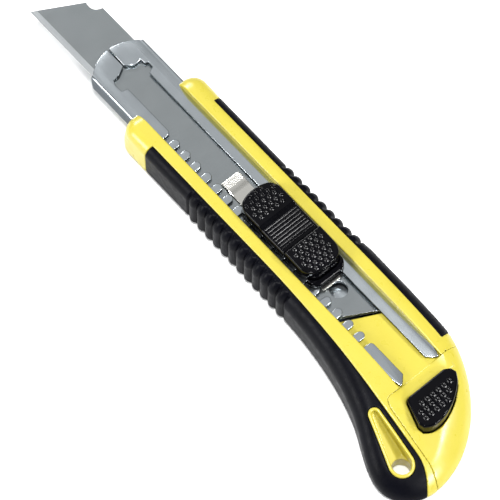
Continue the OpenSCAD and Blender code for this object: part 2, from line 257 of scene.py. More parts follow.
def mesh_of(name, points, faces, normals=None):
    """A mesh from points in the knife's millimetres."""
    mesh = bpy.data.meshes.new(name)
    mesh.vertices.add(len(points))
    mesh.vertices.foreach_set("co", (points * MM + ORIGIN).astype(np.float32).ravel())
    mesh.loops.add(faces.size)
    mesh.loops.foreach_set("vertex_index", faces.astype(np.int32).ravel())
    mesh.polygons.add(len(faces))
    mesh.polygons.foreach_set("loop_start", np.arange(0, faces.size, faces.shape[1], dtype=np.int32))
    mesh.update(calc_edges=True)
    mesh.shade_smooth()
    if normals is not None:
        mesh.normals_split_custom_set_from_vertices(normals.tolist())
    return mesh


def moulded(name, shape, axes, body, slot, look, *nodes):
    """A moulded piece, from its distance field."""
    points, faces = surface(shape, axes)
    reach = 0.6 * max(np.diff(a).max() for a in axes)
    points, normals = settle(shape, points, reach)
    return piece(name, mesh_of(name, points, faces, normals), body, slot, look, *nodes)


def blank_mesh(outlines, thickness, edge):
    """A flat blank in bmesh: outlines are closed, later ones are holes, and its edges are softened."""
    data = bpy.data.curves.new("blank", "CURVE")
    data.dimensions = "2D"
    data.fill_mode = "BOTH"
    data.extrude = thickness / 2 - edge
    data.bevel_depth = edge
    data.bevel_resolution = 2
    data.offset = -edge
    for outline in outlines:
        spline = data.splines.new("POLY")
        spline.points.add(len(outline) - 1)
        for p, (x, y) in zip(spline.points, outline):
            p.co = (x, y, 0, 1)
        spline.use_cyclic_u = True
    holder = bpy.data.objects.new("blank", data)
    bpy.context.scene.collection.objects.link(holder)
    flat = bpy.data.meshes.new_from_object(holder.evaluated_get(bpy.context.evaluated_depsgraph_get()))
    bpy.data.objects.remove(holder)
    bm = bmesh.new()
    bm.from_mesh(flat)
    bpy.data.meshes.remove(flat)
    bmesh.ops.remove_doubles(bm, verts=bm.verts, dist=0.002)
    bmesh.ops.recalc_face_normals(bm, faces=bm.faces)
    return bm


def cut_along(bm, places, normal):
    """Adds straight lines of corners across a blank, where it bends or thins out."""
    for place in places:
        everything = bm.verts[:] + bm.edges[:] + bm.faces[:]
        bmesh.ops.bisect_plane(bm, geom=everything, plane_co=place, plane_no=normal, dist=0.001)


def finished_mesh(name, bm, sharp):
    """The mesh of a bmesh, smooth but for edges sharper than an angle in degrees."""
    mesh = bpy.data.meshes.new(name)
    bm.to_mesh(mesh)
    bm.free()
    mesh.shade_smooth()
    mesh.set_sharp_from_angle(angle=math.radians(sharp))
    return mesh


def sheet(name, bm, bend, sharp=35):
    """The mesh of a blank after bending: bend turns flat points into points of the knife."""
    flat = np.array([v.co for v in bm.verts])
    for v, p in zip(bm.verts, bend(flat) * MM + ORIGIN):
        v.co = p
    return finished_mesh(name, bm, sharp)


def turned(profile, x, steps=48):
    """Points and faces of a round piece at x: its profile (radius, height) starts and ends on the axis."""
    profile = np.array(profile, float)
    a = 2 * math.pi * np.arange(steps) / steps
    middle = profile[1:-1]
    ring = np.stack([
        middle[:, 0, None] * np.cos(a) + x,
        middle[:, 0, None] * np.sin(a),
        middle[:, 1, None] + 0 * a,
    ], 2).reshape(-1, 3)
    ends = np.array([[x, 0, profile[i, 1]] for i in (0, -1)])
    points = np.concatenate([ring, ends])
    faces = []
    for i in range(len(middle) - 1):
        for k in range(steps):
            n = (k + 1) % steps
            faces.append((i * steps + k, i * steps + n, (i + 1) * steps + n, (i + 1) * steps + k))
    last = (len(middle) - 1) * steps
    for k in range(steps):
        n = (k + 1) % steps
        faces.append((len(ring), n, k))
        faces.append((len(ring) + 1, last + k, last + n))
    return points, faces


def turned_mesh(name, shapes):
    """One mesh of several turned shapes."""
    bm = bmesh.new()
    for points, faces in shapes:
        verts = [bm.verts.new(p * MM + ORIGIN) for p in points]
        for corners in faces:
            bm.faces.new([verts[i] for i in corners])
    bmesh.ops.recalc_face_normals(bm, faces=bm.faces)
    return finished_mesh(name, bm, 35)


def wire_mesh(name, path, r, sides=12):
    """A wire of radius r along a path, a little thinner at its cut ends."""
    ahead = np.gradient(path, axis=0)
    ahead /= np.linalg.norm(ahead, axis=1)[:, None]
    side = np.cross(ahead, [0, 0, 1.0])
    side /= np.linalg.norm(side, axis=1)[:, None]
    up = np.cross(side, ahead)
    a = 2 * math.pi * np.arange(sides)[:, None] / sides
    radius = np.full(len(path), r)
    radius[[0, -1]] = 0.6 * r
    ring = path[:, None] + radius[:, None, None] * (side[:, None] * np.cos(a) + up[:, None] * np.sin(a))
    points = ring.reshape(-1, 3)
    bm = bmesh.new()
    verts = [bm.verts.new(p * MM + ORIGIN) for p in points]
    for i in range(len(path) - 1):
        for k in range(sides):
            n = (k + 1) % sides
            corners = (i * sides + k, i * sides + n, (i + 1) * sides + n, (i + 1) * sides + k)
            bm.faces.new([verts[c] for c in corners])
    bm.faces.new(verts[:sides][::-1])
    bm.faces.new(verts[-sides:])
    bmesh.ops.recalc_face_normals(bm, faces=bm.faces)
    return finished_mesh(name, bm, 50)


# ---- materials ----


class Look:
    """A material being built: a principled shader, and textures in the piece's own space."""

    def __init__(self, name, **settings):
        self.material = bpy.data.materials.new(name)
        self.material.use_nodes = True
        self.nodes = self.material.node_tree.nodes
        self.links = self.material.node_tree.links
        self.shader = next(n for n in self.nodes if n.type == "BSDF_PRINCIPLED")
        for socket, value in settings.items():
            self.shader.inputs[socket.replace("_", " ")].default_value = value
        self.place = self.nodes.new("ShaderNodeTexCoord").outputs["Object"]

    def add(self, kind, inputs=(), **settings):
        """A shader node: each input is a value or another node's socket."""
        node = self.nodes.new(kind)
        for key, value in settings.items():
            setattr(node, key, value)
        for key, value in dict(inputs).items():
            if isinstance(value, bpy.types.NodeSocket):
                self.links.new(value, node.inputs[key])
            else:
                node.inputs[key].default_value = value
        return node

    def noise(self, size, detail, stretch=(1, 1, 1), turn=0.0):
        """Noise with features of a size in millimetres, drawn out along x, y or z."""
        scale = [1 / (MM * size * s) for s in stretch]
        place = self.add("ShaderNodeMapping", {
            "Vector": self.place, "Rotation": (0, 0, turn), "Scale": scale}).outputs["Vector"]
        made = self.add("ShaderNodeTexNoise", {
            "Vector": place, "Scale": 1.0, "Detail": detail, "Roughness": 0.55})
        return made.outputs["Fac"]

    def ramp(self, value, *stops):
        """Colours by value: each stop is (position, colour or grey)."""
        node = self.add("ShaderNodeValToRGB", {"Fac": value})
        marks = node.color_ramp.elements
        while len(marks) < len(stops):
            marks.new(0.5)
        for mark, (position, colour) in zip(marks, stops):
            mark.position = position
            grey = isinstance(colour, (int, float))
            mark.color = (colour, colour, colour, 1) if grey else (*colour, 1)
        return node.outputs["Color"]

    def scaled(self, value, low, high, out_low, out_high):
        """A value moved from one range to another."""
        return self.add("ShaderNodeMapRange", {
            "Value": value, "From Min": low, "From Max": high,
            "To Min": out_low, "To Max": out_high}).outputs["Result"]

    def mix(self, share, a, b, kind="MIX"):
        """Two colours mixed, or multiplied, by a share."""
        node = self.add("ShaderNodeMix", data_type="RGBA", blend_type=kind)
        for key, value in ((0, share), (6, a), (7, b)):
            if isinstance(value, bpy.types.NodeSocket):
                self.links.new(value, node.inputs[key])
            else:
                node.inputs[key].default_value = value if key == 0 else (*value, 1)
        return node.outputs[2]

    def sum(self, a, b, kind="ADD"):
        """Two values added, or put through another operation."""
        return self.add("ShaderNodeMath", {0: a, 1: b}, operation=kind).outputs[0]

    def bump(self, height, depth, strength, under=None):
        """Relief of a depth in millimetres."""
        inputs = {"Height": height, "Strength": strength, "Distance": depth * MM}
        if under is not None:
            inputs["Normal"] = under
        return self.add("ShaderNodeBump", inputs).outputs["Normal"]

    def set(self, **sockets):
        """Links nodes to the shader's sockets, and returns the finished material."""
        for socket, value in sockets.items():
            self.links.new(value, self.shader.inputs[socket.replace("_", " ")])
        return self.material


def yellow_plastic():
    """Semi-gloss yellow ABS with a fine grain and a slight waviness from moulding."""
    look = Look("yellow_plastic_look", IOR=1.53, Specular_IOR_Level=0.45)
    tone = look.noise(14, 2)
    colour = look.ramp(tone, (0.3, (0.455, 0.388, 0.045)), (0.7, (0.475, 0.407, 0.051)))
    specks = look.ramp(look.noise(1.1, 4), (0.25, 0.96), (0.45, 1.0))
    colour = look.mix(1.0, colour, specks, "MULTIPLY")
    rough = look.scaled(look.noise(3.5, 4), 0.3, 0.7, 0.26, 0.34)
    grain = look.bump(look.noise(0.22, 2), 0.01, 0.3)
    flow = look.bump(look.noise(9, 2), 0.03, 0.3, grain)
    return look.set(Base_Color=colour, Roughness=rough, Normal=flow)


def black_rubber():
    """Soft black rubber: matt, finely grained and faintly dusty."""
    look = Look("black_rubber_look", IOR=1.5, Specular_IOR_Level=0.06)
    patch = look.noise(5, 5)
    dust = look.ramp(patch, (0.35, (0.0016, 0.0017, 0.0032)), (0.75, (0.0028, 0.0030, 0.0052)))
    rough = look.scaled(look.noise(2.0, 4), 0.3, 0.7, 0.34, 0.48)
    grain = look.bump(look.noise(0.28, 3), 0.03, 0.7)
    return look.set(Base_Color=dust, Roughness=rough, Normal=grain)


def black_plastic():
    """Glossy black plastic with faint scuffs."""
    look = Look("black_plastic_look", IOR=1.52, Specular_IOR_Level=0.11)
    patch = look.noise(6, 3)
    tone = look.ramp(patch, (0.3, (0.0012, 0.0012, 0.0018)), (0.7, (0.0020, 0.0020, 0.003)))
    scuffs = look.noise(0.6, 5, (6, 1, 1), 0.5)
    rough = look.scaled(scuffs, 0.3, 0.72, 0.07, 0.13)
    grain = look.bump(look.noise(0.5, 3), 0.003, 0.4)
    return look.set(Base_Color=tone, Roughness=rough, Normal=grain)


def steel(name, bright, dull, rough, along=(30, 1, 1), wave=0.02, side=1.0, ground=None):
    """Plated or ground steel: fine lines, faint patches and a slight waviness.

    Sideways faces get painted shade, their colour darkened by a factor, and ground bevels, which lean, can
    have their own colour."""
    look = Look(name, Metallic=1.0, Specular_Tint=(0.4, 0.41, 0.43, 1.0))
    patch = look.noise(6, 4)
    line = look.noise(0.2, 3, along)
    colour = look.mix(look.scaled(patch, 0.3, 0.7, 0, 1), dull, bright)
    streak = look.ramp(line, (0.3, 0.975), (0.7, 1.0))
    colour = look.mix(1.0, colour, streak, "MULTIPLY")
    normal = look.add("ShaderNodeTexCoord").outputs["Normal"]
    parts = look.add("ShaderNodeSeparateXYZ", {"Vector": normal}).outputs
    # painted shade: faces that stand upright are darkened by the factor side
    if side < 1:
        upright = look.sum(parts["Z"], 0.0, "ABSOLUTE")
        painted_wall_shade = look.ramp(upright, (0.35, side), (0.85, 1.0))
        colour = look.mix(1.0, colour, painted_wall_shade, "MULTIPLY")
    if ground:
        lean = look.scaled(parts["Y"], 0.05, 0.09, 0, 1)
        colour = look.mix(lean, colour, ground)
    spread = look.sum(look.scaled(patch, 0.3, 0.7, rough - 0.015, rough + 0.015),
                      look.scaled(line, 0.3, 0.7, -0.02, 0.02))
    relief = look.bump(line, 0.0008, 0.5)
    relief = look.bump(look.noise(9, 2), wave, 0.5, relief)
    return look.set(Base_Color=colour, Roughness=spread, Normal=relief)


YELLOW = yellow_plastic()
RUBBER = black_rubber()
BLACK = black_plastic()
# the channel's upright walls get painted shade, their colour darkened to 0.42
SHEET_STEEL = steel("sheet_steel_look", (0.53, 0.575, 0.605), (0.505, 0.55, 0.58), 0.21, side=0.42)
BLADE_STEEL = steel("blade_steel_look", (0.405, 0.437, 0.45), (0.393, 0.425, 0.438), 0.22,
                    along=(1, 25, 1), wave=0.002, ground=(0.78, 0.82, 0.84))
SPRING_STEEL = steel("spring_steel_look", (0.80, 0.79, 0.74), (0.77, 0.76, 0.71), 0.16,
                     along=(1, 20, 1), wave=0.004)
RIVET_STEEL = steel("rivet_steel_look", (0.50, 0.50, 0.50), (0.42, 0.42, 0.43), 0.3, along=(2, 2, 1))

# ---- shared outlines of the handle ----

HALF_W = 15.3  # half the handle's width at its mouth
MOUTH_X = 16.5  # front end of the handle
BODY_Z = 15.0  # height of the handle's flat face
CAP_X = -105.1  # seam between handle and end cap
LIP_TOP = 12.6  # upper and lower faces of the channel's lips
LIP_UNDER = 11.9
CHANNEL_Z = 5.6  # underside of the channel's floor
CHANNEL_HALF = 10.5  # half the channel's width, outside
FLOOR_Z = 6.3  # upper face of the channel's floor
INNER_HALF = 9.8  # half the channel's width, inside
TRACK_HALF = 8.2  # half the width of the track between the rails
RIVET_XS = (4, -74)  # the two rivets through the channel's floor
SKIN = 2.4  # thickness of the rubber at the sides, and over the top and bottom
SKIN_Z = 1.6
SEAM = 0.35  # rounding of the seams between rubber and plastic
FLAT_BACK_EDGE = 2.2  # rounding round the flat back

mouth_r = 5.0
belly_join = (-62, HALF_W + 0.9)
belly_mid = (-101.8, 23.2)
belly_top = (-122.5, 31.4)
tail_end = (-133.6, 18)
back_join = (-98, -HALF_W - 1)

HANDLE = Outline(
    corner(MOUTH_X - mouth_r, HALF_W - mouth_r, mouth_r, 0, 90),
    [(-15, HALF_W)],
    curve(belly_join, (-78, 16.6), (-92, 19.4), belly_mid),
    curve(belly_mid, (-108.3, 25.8), (-116, 31.4), belly_top),
    curve(belly_top, (-129.5, 31.4), (-133.7, 25), tail_end),
    curve(tail_end, (-133, -2), (-113, -15.8), back_join, 24),
    [back_join, (-66, -HALF_W - 1), (-56, -HALF_W)],
    corner(MOUTH_X - mouth_r, mouth_r - HALF_W, mouth_r, -90, 0),
)

face_line = np.concatenate([
    [(60, BODY_Z)],
    curve((-78, BODY_Z), (-98, BODY_Z), (-118, 11), (-136, 3.5), 200),
    [(-136, 3.5), (-150, -1)],
])[::-1]


def face_height(x):
    """Height of the handle's front face, which falls away towards the tail."""
    return np.interp(x, face_line[:, 0], face_line[:, 1])


def face(x, z):
    """Distance above the handle's front face."""
    rise = face_height(x + 0.5) - face_height(x - 0.5)
    return (z - face_height(x)) / np.hypot(1, rise)


grip_edge = 12.25
GRIP_LINE = np.concatenate([
    [(3, grip_edge)],
    curve((-50, grip_edge), (-80, grip_edge), (-100, 15.6), (-123, 16.9)),
    curve((-123, 16.9), (-127.5, 17.2), (-130.5, 19.6), (-136, 24)),
])
LOWER_ZONE = Outline([(5.5, 38)], GRIP_LINE, [(-142, 30), (-142, 38)], margin=4)
UPPER_ZONE = Outline([(4.2, -24), (3, -12.3), (-101, -12.3), (-99.5, -24)], margin=5)

CAP_ZONE = Outline(
    [(CAP_X, -26)],
    curve((CAP_X, 11.6), (CAP_X + 0.05, 13.6), (-106.4, 14.2), (-110, 14.6), 12),
    [(-110, 14.6), (-120.2, 15.4)],
    curve((-127.1, 15.9), (-130.5, 16.5), (-133, 17.7), (-136, 19.1), 12),
    [(-144, 22.6), (-144, -26)],
    margin=5,
)

lanyard = (-122.3, 22.6)
lanyard_r = 2.9
lanyard_len = 5.0
recess_r = 3.1
recess_tip = (-106.6, 19.2)
recess_tip_r = 1.05
rim = 0.95
recess_slope = ((-119.5, lanyard_len), (-105, 11.1))


def teardrop(x, y, grow):
    """Drop-shaped outline round the lanyard hole: two discs joined by a tapering stretch."""
    a, b = np.array(lanyard), np.array(recess_tip)
    d = b - a
    length = np.hypot(*d)
    t = ((x - a[0]) * d[0] + (y - a[1]) * d[1]) / length
    s = np.abs((x - a[0]) * d[1] - (y - a[1]) * d[0]) / length
    lean = (recess_r - recess_tip_r) / length
    cos = math.sqrt(1 - lean * lean)
    k = t * cos - s * lean
    near_a = np.hypot(t, s) - recess_r
    near_b = np.hypot(t - length, s) - recess_tip_r
    between = s * cos + t * lean - recess_r
    inner = np.where(k < 0, near_a, np.where(k > length * cos, near_b, between))
    return inner - grow


def edge_round(x, y):
    """How far the rounding of the handle's long edges reaches inwards: most round the end cap."""
    grip = np.interp(x, [-126, -108, -70, -50, 4, 14], [6.8, 6.2, 5.6, 4.2, 4.0, 3.0])
    cap = np.interp(x, [-126, -108, -70], [11.5, 9.0, 5.6])
    return grip + np.maximum(cap - grip, 0) * (1 - smooth(y, 0, 16))


def edge_drop(x):
    """How far that rounding reaches down."""
    return np.minimum(np.interp(x, [-70, -50, 4, 14], [5.6, 4.2, 4.0, 3.0]), 0.8 * face_height(x))


def handle_blank(x, y, z):
    """The handle as one solid, with its grips and end cap. Its mouth leans back a little."""
    lean = 0.2 * np.maximum(z - 6, 0) * smooth(x, 2, 9)
    r = edge_round(x, y)
    top = face(x, z) * r / edge_drop(x)
    return both(both(HANDLE(x + lean, y), top, r), -z, np.minimum(FLAT_BACK_EDGE, 0.3 * face_height(x)))


def handle_core(x, y, z):
    """Stiff core under the rubber."""
    r = edge_round(x, y)
    top = (face(x, z) + SKIN_Z) * r / edge_drop(x)
    return both(both(HANDLE(x, y) + SKIN, top, np.maximum(r - 2, 1.5)), SKIN_Z - z, 1.0)


# ---- handle body ----


LIPS_BACK = -100.7
TONGUE_ROOM = 11.75
LATCH_ROOM = 4.3


def channel_pocket(x, y, z):
    """Room for the channel, and behind its lips for the end cap's tongue only."""
    wide = slab(y, -CHANNEL_HALF - 0.05, CHANNEL_HALF + 0.05)
    low = both(wide, slab(z, CHANNEL_Z - 0.05, TONGUE_ROOM), 0.6)
    lips = both(wide, slab(z, CHANNEL_Z - 0.05, LIP_TOP - 0.12), 0.6)
    return np.minimum(low, both(lips, LIPS_BACK - x, 0.1))


def track(y, z):
    """The open slot between the rails, down to the channel's lips."""
    return both(slab(y, -TRACK_HALF, TRACK_HALF), LIP_TOP - 1 - z, 0.1)


def latch_pocket(x, y, z):
    """Room for the end cap's latch, with a higher end where its hook catches."""
    wide = slab(y, -LATCH_ROOM, LATCH_ROOM)
    run = both(both(wide, slab(z, 1.6, 4.3), 0.2), slab(x, -109, -103.2), 0.1)
    catch = both(both(wide, slab(z, 1.6, 5.2), 0.2), slab(x, -103.7, -99.5), 0.1)
    return np.minimum(run, catch)


def handle_body(x, y, z):
    """The yellow body: rails, back, a core under the rubber and the lanyard recess's rim."""
    shell = without(handle_blank(x, y, z), LOWER_ZONE(x, y), SEAM)
    shell = without(shell, UPPER_ZONE(x, y), SEAM)
    drop = teardrop(x, y, rim)
    collar = both(drop, z - face_height(x) - 0.15, 0.42)
    collar = both(collar, 0.2 - z, 0.3)
    solid = np.minimum(np.minimum(shell, handle_core(x, y, z)), collar)
    solid = without(solid, CAP_ZONE(x, y), 0.14)
    solid = without(solid, track(y, z), 0.5)
    solid = without(solid, channel_pocket(x, y, z), 0.06)
    solid = without(solid, latch_pocket(x, y, z), 0.1)
    recess_floor = np.interp(x, *zip(*recess_slope))
    recess = both(teardrop(x, y, 0), (recess_floor - z) * 0.92, 0.6)
    hole = disc(x, y, *lanyard, lanyard_r)
    solid = without(solid, np.minimum(recess, hole), 0.4)
    for rivet_x in RIVET_XS:
        bore = disc(x, y, rivet_x, 0, 1.25)
        sink = both(disc(x, y, rivet_x, 0, 2.6), z - 1.2, 0.1)
        solid = without(solid, np.minimum(bore, sink), 0.15)
    return solid


moulded(
    "handle_body_moulding", handle_body,
    [lines((-137, -106, 0.36), (-106, -104.4, 0.16), (-104.4, -99, 0.4), (-99, 0, 1.1), (0, 18.4, 0.36)),
     lines((-16.6, -8.8, 0.36), (-8.8, -7.6, 0.12), (-7.6, 7.6, 0.4), (7.6, 8.8, 0.12), (8.8, 27.4, 0.36)),
     lines((-0.6, 12.3, 0.42), (12.3, 13.3, 0.125), (13.3, 15.5, 0.3))],
    "handle", "yellow_plastic", YELLOW, "handle_body",
)

# ---- rubber grips ----

RIB_OUT = 0.4
RIB_ROUND = 2.05


def ribbed(x, y, z, zone, first, last, count):
    """A grip whose side is scalloped into ribs, which wrap over the edge towards the yellow body."""
    pitch = (last - first) / (count - 1)
    place = np.clip(np.round((x - first) / pitch), 0, count - 1) * pitch + first
    off = np.abs(x - place)
    arc = RIB_OUT - RIB_ROUND + np.sqrt(np.maximum(RIB_ROUND ** 2 - np.minimum(off, pitch / 2) ** 2, 0))
    beyond = np.maximum(off - pitch / 2, 0)
    arc = arc * (1 - smooth(beyond, 0, 0.8))
    share = smooth(-zone(x, y), 0.5, 1.7) * smooth(z, 0.4, 1.6)
    side = (handle_blank(x, y, z) - arc * share) * 0.75
    return both(side, zone(x, y), SEAM)


def lower_grip(x, y, z):
    """The grip on the cutting-edge side, which wraps round the tail and the lanyard's rim."""
    grip = ribbed(x, y, z, LOWER_ZONE, -60, -19, 12)
    grip = without(grip, handle_core(x, y, z), 0.1)
    return without(grip, teardrop(x, y, rim + 0.03), 0.35)


def upper_grip(x, y, z):
    """The grip on the blade's back side."""
    grip = ribbed(x, y, z, UPPER_ZONE, -60, -30, 9)
    return without(grip, handle_core(x, y, z), 0.1)


moulded(
    "lower_grip_rubber", lower_grip,
    [lines((-137, -101, 0.5), (-101, -62, 0.7), (-62, -16, 0.34), (-16, 6.5, 0.5)), lines((8, 34, 0.42)),
     lines((-1.2, 17.6, 0.42))],
    "handle", "black_rubber", RUBBER, "lower_grip",
)
moulded(
    "upper_grip_rubber", upper_grip,
    [lines((-102.5, -62, 0.6), (-62, -27, 0.32), (-27, 5.5, 0.5)), lines((-19, -10.5, 0.4)),
     lines((-1.2, 17.6, 0.4))],
    "handle", "black_rubber", RUBBER, "upper_grip",
)

# ---- end cap and its button ----

HOLE_BACK = 10.4  # from a blade's hole back to its slanted tail
SPARE_HOOK_X = -68.9  # the spare blades' holes
SPARE_TAIL = SPARE_HOOK_X - HOLE_BACK
TONGUE_TOP = 11.2
TONGUE_HALF = INNER_HALF - 0.3
BUTTON_TOP = 13.2
FLANGE_Z = (4.9, 5.7)
BUTTON_ROOM_Z = (2.5, 6)

BUTTON = Outline(
    [(-109.2, -5.5), (-109.2, 8.2), (-109.7, 9.3), (-110.8, 9.8), (-117.6, 11.8), (-119.4, 11.4)],
    curve((-120.3, 10.1), (-122.8, 5.5), (-118.5, -3.5), (-113.2, -7.5)),
    [(-112.2, -7.9), (-110.4, -7.4)],
    margin=5, step=0.1,
)
TONGUE = Outline([
    (SPARE_TAIL + 3.3, TONGUE_HALF), (SPARE_TAIL - 6.5, -TONGUE_HALF),
    (-110, -TONGUE_HALF), (-110, TONGUE_HALF),
], margin=4)


def end_cap(x, y, z):
    """The end cap: its deck dips to its tongue, which fills the channel behind the spare blades."""
    shell = both(handle_blank(x, y, z), CAP_ZONE(x, y) + 0.04, 0.14)
    tongue = both(TONGUE(x, y), slab(z, FLOOR_Z + 0.2, TONGUE_TOP), 0.45)
    sunk = smooth(x, -115, -108.9) * (1 - smooth(np.abs(y - 0.3), 4.2, 12))
    deck = face_height(x) + (TONGUE_TOP - face_height(x)) * sunk
    shell = both(shell, (z - deck) * 0.85, 0.1)
    solid = either(shell, tongue, 0.3)
    around = BUTTON(x, y)
    shaft = both(around - 0.25, BUTTON_ROOM_Z[0] - z, 0.3)
    inner = both(around - 1.0, slab(z, *BUTTON_ROOM_Z), 0.2)
    solid = without(solid, np.minimum(shaft, inner), 0.3)
    latch = both(both(slab(x, -110, -104), slab(y, -LATCH_ROOM, LATCH_ROOM), 0.2), slab(z, 2, 5.2), 0.2)
    return without(solid, latch, 0.15)


def rings(x, y, centres, r, width, height):
    """Small raised rings, squarish and with sloping sides: how far they stand out at each point."""
    rise = 0.0
    for cx, cy in centres:
        across = ((x - cx) ** 4 + (y - cy) ** 4) ** 0.25
        rise = np.maximum(rise, 1.15 - np.abs(across - r) / width)
    return height * np.clip(rise, 0, 1)


BUTTON_DOTS = [
    (-113.3 - 2.1 * row, 2.2 * k - 4.35)
    for row in range(3) for k in range(7) if row <= k < row + 6
]


def cap_button(x, y, z):
    """The cap's button, with a flange inside that keeps it from falling out."""
    side = BUTTON(x, y)
    top = BUTTON_TOP + rings(x, y, BUTTON_DOTS, 0.52, 0.32, 0.28)
    knob = both(side, (z - top) * 0.9, 0.65)
    knob = both(knob, FLANGE_Z[0] - z, 0.2)
    flange = both(side - 0.7, slab(z, *FLANGE_Z), 0.2)
    return np.minimum(knob, flange)


moulded(
    "end_cap_moulding", end_cap,
    [lines((-137, -106, 0.36), (-106, -104.4, 0.16), (-104.4, -102, 0.4), (-102, -87, 1.0),
           (-87, -73, 0.4)),
     lines((-17, 19.6, 0.36)), lines((-0.6, 13.4, 0.36))],
    "end_cap", "yellow_plastic", YELLOW, "end_cap",
)
moulded(
    "cap_button_moulding", cap_button,
    [lines((-122.5, -108, 0.1)), lines((-9.2, 13.2, 0.1)), lines((4.4, 12, 0.5), (12, 14.2, 0.09))],
    "cap_button", "black_plastic", BLACK, "cap_button",
)

# ---- slider ----

SLIDER_X = -47.5  # the slider's place along the knife; its parts are placed from here
BASE_HALF = 6.5
PAD_HALF = 7.0
BASE_TOP = 15.0
PAD_TOP = 18.6
LOCK_TOP = 19.3
FRONT_BOW_R = 11.5  # how round the slider's front is, seen from above
REAR_BOW_R = 14.0  # and its rear
DOT = (0.4, 0.28, 0.25)  # a dot's radius, the width of its ring and how far it stands out
base_front = SLIDER_X + 18.6
base_back = SLIDER_X - 18.3
pad_front = base_front - 0.5
pad_back = SLIDER_X - 4.25
lock_front = pad_back - 0.4
lock_back = SLIDER_X - 16.35
post_x = SLIDER_X - 10.3


def slider_plan(x, y, back, front, half, r_back, r_front):
    """The slider's outline: a bowed front, straight sides and softer rear corners."""
    bow = np.hypot(np.maximum(x - front + FRONT_BOW_R, 0), y) - FRONT_BOW_R
    box = plate(x, y, back, front + 4, -half, half, r_back)
    return both(box, bow, r_front)


def dot_field(x0, x1, half, pitch, allowed):
    """Staggered rows of dots between x0 and x1."""
    dots = []
    row_pitch = 0.87 * pitch
    for row in range(int((x1 - x0) / row_pitch) + 1):
        shift = (row % 2) * pitch / 2
        for k in range(-6, 7):
            p = (x1 - row * row_pitch, k * pitch + shift)
            if abs(p[1]) < half and allowed(*p):
                dots.append(p)
    return dots


def pad_plan(x, y):
    """Outline of the thumb pad, which runs on behind as far as the lock button covers."""
    return slider_plan(x, y, pad_back - 3, pad_front, PAD_HALF, 0.6, 2.4)


def lock_plan(x, y):
    """Outline of the lock button, with a bowed rear."""
    bow = np.hypot(np.minimum(x - lock_back - REAR_BOW_R, 0), y) - REAR_BOW_R
    box = plate(x, y, lock_back - 4, lock_front, -PAD_HALF, PAD_HALF, 0.4)
    return both(box, bow, 2.6)


def lock_foot(x, y):
    """Outline of the lock button's foot, which sinks into the slider base."""
    return plate(x, y, lock_back, lock_front, -BASE_HALF + 0.6, BASE_HALF - 0.6, 3.0)


PAD_DOTS = dot_field(-40, -31.1, 6.3, 2.1, lambda x, y: pad_plan(x, y) < -1.05)
LOCK_DOTS = dot_field(-62.8, -53.4, 6.3, 2.0, lambda x, y: lock_plan(x, y) < -1.1)
RIDGES = [SLIDER_X + 5.15 - 1.15 * k for k in range(8)]


def slider_base(x, y, z):
    """The base, with a key between the channel's lips and a pocket for the lock button."""
    block = both(slider_plan(x, y, base_back, base_front, BASE_HALF, 3.2, 2.6),
                 slab(z, LIP_TOP + 0.05, BASE_TOP), 0.3)
    slope_back = (x - base_back) * -0.5 + (z - LIP_TOP - 1.5) * 0.87
    block = both(block, slope_back, 0.5)
    key = both(plate(x, y, base_back + 2, base_front - 3, -3.6, 3.8, 0.5),
               slab(z, LIP_UNDER + 0.02, LIP_TOP + 1), 0.15)
    solid = np.minimum(block, key)
    pocket = both(lock_foot(x, y) - 0.25, BASE_TOP - 1.3 - z, 0.2)
    solid = without(solid, pocket, 0.2)
    bore = both(disc(x, y, post_x, 0, 2.7), LIP_TOP + 0.3 - z, 0.1)
    return without(solid, bore, 0.15)


def thumb_pad(x, y, z):
    """The thumb pad: dots in front, and cross ridges in the dip behind them."""
    dip = 0.85 * smooth(x, -40.3, -42)
    top = PAD_TOP - dip - 0.5 * smooth(x, -34.3, -28.3)
    ridge = 0.0
    for at in RIDGES:
        ridge = np.maximum(ridge, np.clip(1.3 - np.abs(x - at) / 0.16, 0, 1))
    inner = smooth(pad_plan(x, y), -0.45, -0.95)
    top = top + 0.145 * ridge * inner + rings(x, y, PAD_DOTS, *DOT)
    block = both(pad_plan(x, y), (z - top) * 0.85, 0.55)
    block = both(block, pad_back - x, 0.4)
    return both(block, BASE_TOP + 0.02 - z, 0.25)


def lock_button(x, y, z):
    """The dotted rear pad, with a foot and a post for its spring underneath."""
    rise = 0.35 * smooth(x, -60.3, -53.8)
    top = LOCK_TOP - 0.3 + rise - 0.08 * (y / PAD_HALF) ** 2
    top = top + rings(x, y, LOCK_DOTS, *DOT)
    block = both(lock_plan(x, y), (z - top) * 0.85, 0.5)
    block = both(block, BASE_TOP + 1.0 - z, 0.15)
    foot = both(lock_foot(x, y), slab(z, BASE_TOP - 0.35, BASE_TOP + 1.4), 0.15)
    post = both(disc(x, y, post_x, 0, 1.2), slab(z, BASE_TOP - 0.8, BASE_TOP + 1), 0.15)
    return np.minimum(np.minimum(block, foot), post)


moulded(
    "slider_base_moulding", slider_base,
    [lines((base_back - 0.5, base_front + 0.5, 0.2)), lines((-7.2, 7.2, 0.2)), lines((11.6, 15.5, 0.17))],
    "slider", "black_plastic", BLACK, "slider_base",
)
moulded(
    "thumb_pad_moulding", thumb_pad,
    [lines((pad_back - 0.4, -42.2, 0.07), (-42.2, base_front + 0.4, 0.1)), lines((-7.4, 7.4, 0.1)),
     lines((14.6, 17, 0.25), (17, 19.2, 0.09))],
    "slider", "black_plastic", BLACK, "thumb_pad",
)
moulded(
    "lock_button_moulding", lock_button,
    [lines((lock_back - 0.4, lock_front + 0.4, 0.09)), lines((-7.4, 7.4, 0.09)),
     lines((13.8, 17.6, 0.2), (17.6, 20, 0.08))],
    "lock_button", "black_plastic", BLACK, "lock_button",
)

# ---- folded steel channel ----

